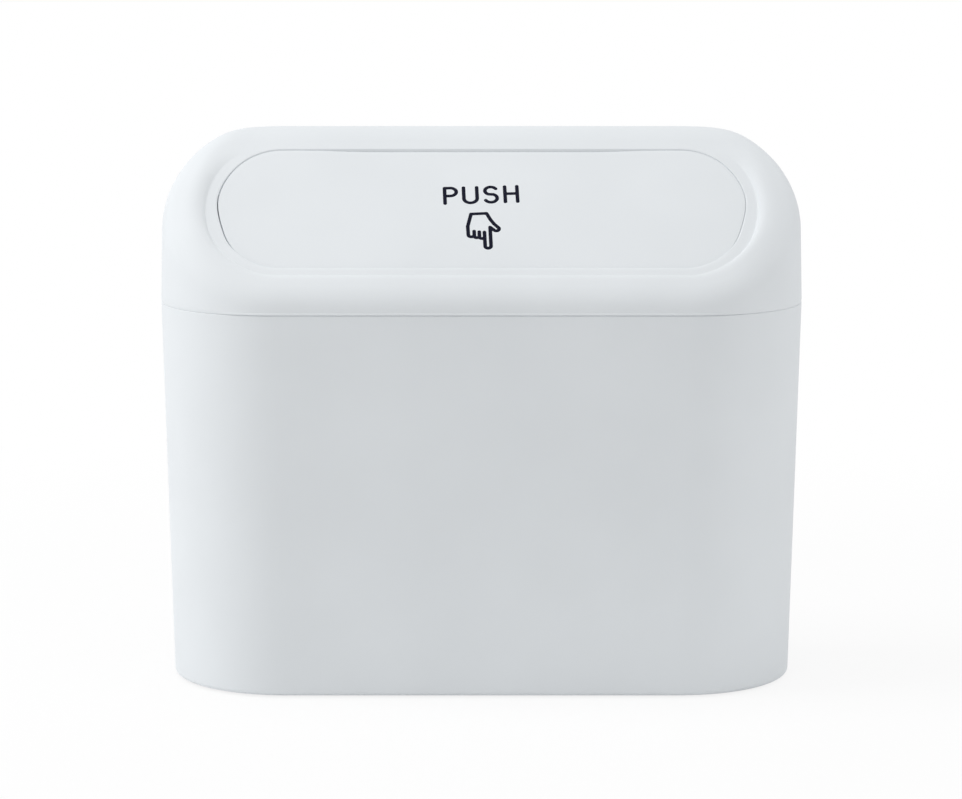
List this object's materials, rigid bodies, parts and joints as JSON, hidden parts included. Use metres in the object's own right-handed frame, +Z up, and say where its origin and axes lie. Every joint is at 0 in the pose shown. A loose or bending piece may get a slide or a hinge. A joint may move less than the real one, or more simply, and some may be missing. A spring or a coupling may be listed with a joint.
{
  "type": "push top countertop bin",
  "caption": "Slim oblong countertop waste bin with a lift-off lid whose sloping face holds a sprung push-in flap.",
  "frame": {"origin": "middle of the footprint, on the surface that the feet stand on", "axes": "+X along the bin's length, -Y out of its front, +Z up"},
  "size_m": [0.2, 0.074, 0.171],
  "materials": {
    "white_plastic": "fine matte moulded polypropylene, cool white",
    "bracket_plastic": "plain moulded acetal, off-white",
    "soft_rubber": "soft matte light grey elastomer",
    "screw_steel": "zinc-plated steel screws",
    "pin_steel": "ground steel pins",
    "spring_steel": "drawn spring wire"
  },
  "bodies": {
    "tub": {"bin_body": "white_plastic", "foot_front_left": "soft_rubber", "foot_front_right": "soft_rubber", "foot_rear_left": "soft_rubber", "foot_rear_right": "soft_rubber"},
    "lid": {"lid_cover": "white_plastic", "lid_frame": "white_plastic", "frame_screws": "screw_steel", "bracket_screws": "screw_steel", "hinge_bracket_left": "bracket_plastic", "hinge_bracket_right": "bracket_plastic", "hinge_pin_left": "pin_steel", "hinge_pin_right": "pin_steel", "spring_left": "spring_steel", "spring_right": "spring_steel"},
    "flap": {"flap_panel": "white_plastic", "flap_back": "white_plastic", "flap_screws": "screw_steel", "stop_buffer_left": "soft_rubber", "stop_buffer_right": "soft_rubber"}
  },
  "joints": [
    {"name": "lid_lift", "type": "slide", "parent": "tub", "child": "lid", "axis": [0, 0, 1], "range_m": [0, 0.06]},
    {"name": "flap_hinge", "type": "hinge", "parent": "lid", "child": "flap", "pos_m": [0, 0.01535, 0.15944], "axis": [1, 0, 0], "range_deg": [0, 60], "stiffness_Nm_per_rad": 0.015, "springref_deg": -51.57, "deforming": ["spring_left", "spring_right"]}
  ]
}
